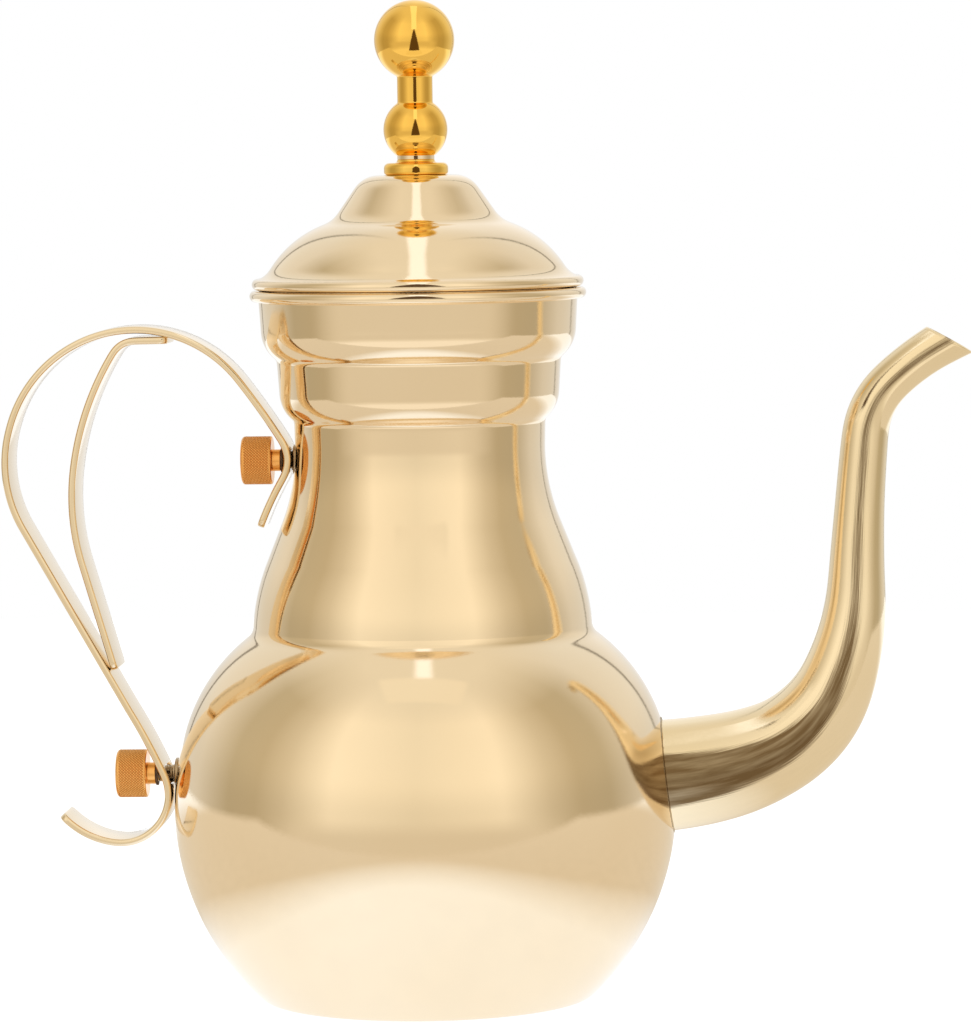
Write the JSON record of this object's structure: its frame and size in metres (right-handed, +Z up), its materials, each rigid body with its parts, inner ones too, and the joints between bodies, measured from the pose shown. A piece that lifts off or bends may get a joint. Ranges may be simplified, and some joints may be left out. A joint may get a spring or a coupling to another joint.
{
  "type": "dallah coffee pot",
  "caption": "Round-bellied metal coffee pot with a tall stepped neck, a gooseneck spout, a lift-off lid with a double-ball finial and a looped strap handle held by knurled thumb nuts.",
  "frame": {"origin": "pot's vertical axis at the underside of the base", "axes": "+Z up along the pot's axis, +X towards the spout, handle on the -X side, +Y across"},
  "size_m": [0.2719, 0.141, 0.2799],
  "materials": {
    "gilded_steel": "mirror-polished stainless steel with a pale champagne-gold coating",
    "spout_steel": "polished stainless steel with a slightly yellower champagne-gold coating and fine drawing lines",
    "strap_steel": "polished flat strap with rounded edges and a champagne-gold coating",
    "gold_plate": "turned and mirror-polished with a rich yellow-gold plating",
    "copper_anodised": "diamond-knurled aluminium, orange-copper anodised",
    "plain_steel": "plain machined steel",
    "dark_washer": "thin dark fibre washer"
  },
  "bodies": {
    "pot": {"belly_shell": "gilded_steel", "base_plate": "gilded_steel", "neck_shell": "gilded_steel", "spout_tube": "spout_steel", "handle_strap": "strap_steel", "handle_brace": "strap_steel", "upper_stud": "plain_steel", "lower_stud": "plain_steel"},
    "lid": {"lid_dome": "gilded_steel", "lid_skirt": "gilded_steel", "finial_flange": "gold_plate", "finial_spacer": "gilded_steel", "finial_knob": "gold_plate", "finial_screw": "plain_steel", "finial_washer": "plain_steel"},
    "upper_carriage": {"upper_washer": "dark_washer"},
    "upper_nut": {"upper_thumb_nut": "copper_anodised"},
    "lower_carriage": {"lower_washer": "dark_washer"},
    "lower_nut": {"lower_thumb_nut": "copper_anodised"}
  },
  "joints": [
    {"name": "lid_lift", "type": "slide", "parent": "pot", "child": "lid", "axis": [0, 0, 1], "range_m": [0, 0.05]},
    {"name": "upper_nut_travel", "type": "slide", "parent": "pot", "child": "upper_carriage", "axis": [-1, 0, 0], "range_m": [0, 0.00565]},
    {"name": "upper_nut_turn", "type": "hinge", "parent": "upper_carriage", "child": "upper_nut", "pos_m": [-0.04, 0, 0.1518], "axis": [-1, 0, 0], "range_deg": [0, 2520]},
    {"name": "lower_nut_travel", "type": "slide", "parent": "pot", "child": "lower_carriage", "axis": [-1, 0, 0], "range_m": [0, 0.00565]},
    {"name": "lower_nut_turn", "type": "hinge", "parent": "lower_carriage", "child": "lower_nut", "pos_m": [-0.077, 0, 0.0637], "axis": [-1, 0, 0], "range_deg": [0, 2520]}
  ],
  "couplings": [
    {"joint": "upper_nut_travel", "follows": "upper_nut_turn", "m_per_rad": 0.00012732},
    {"joint": "lower_nut_travel", "follows": "lower_nut_turn", "m_per_rad": 0.00012732}
  ]
}
